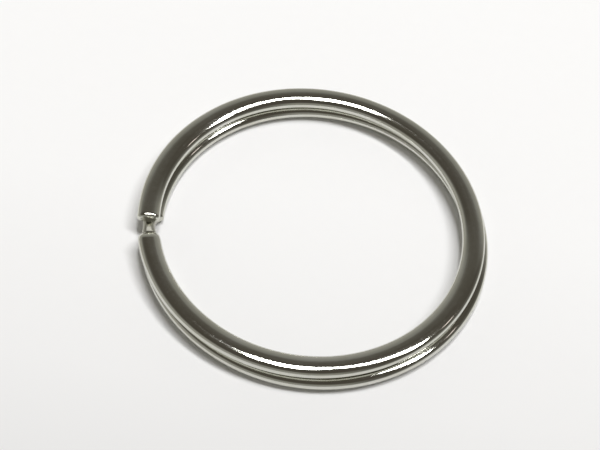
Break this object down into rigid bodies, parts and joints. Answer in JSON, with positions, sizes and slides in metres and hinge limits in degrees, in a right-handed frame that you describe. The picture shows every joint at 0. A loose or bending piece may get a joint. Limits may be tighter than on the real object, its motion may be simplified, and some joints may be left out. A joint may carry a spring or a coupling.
{
  "type": "split key ring",
  "caption": "Flat split key ring of springy plated steel wire wound into stacked turns, with a cranked crossover between its rounded cut ends.",
  "frame": {"origin": "middle of the ring, half way between the middles of its two turns, on the surface that the ring lies on", "axes": "+Z along the ring's axis, up from the surface; the crossover lies toward -X"},
  "size_m": [0.0303, 0.0304, 0.0022],
  "materials": {
    "nickel_steel": "polished nickel plate"
  },
  "bodies": {
    "root": {"split_ring": "nickel_steel"}
  },
  "joints": []
}
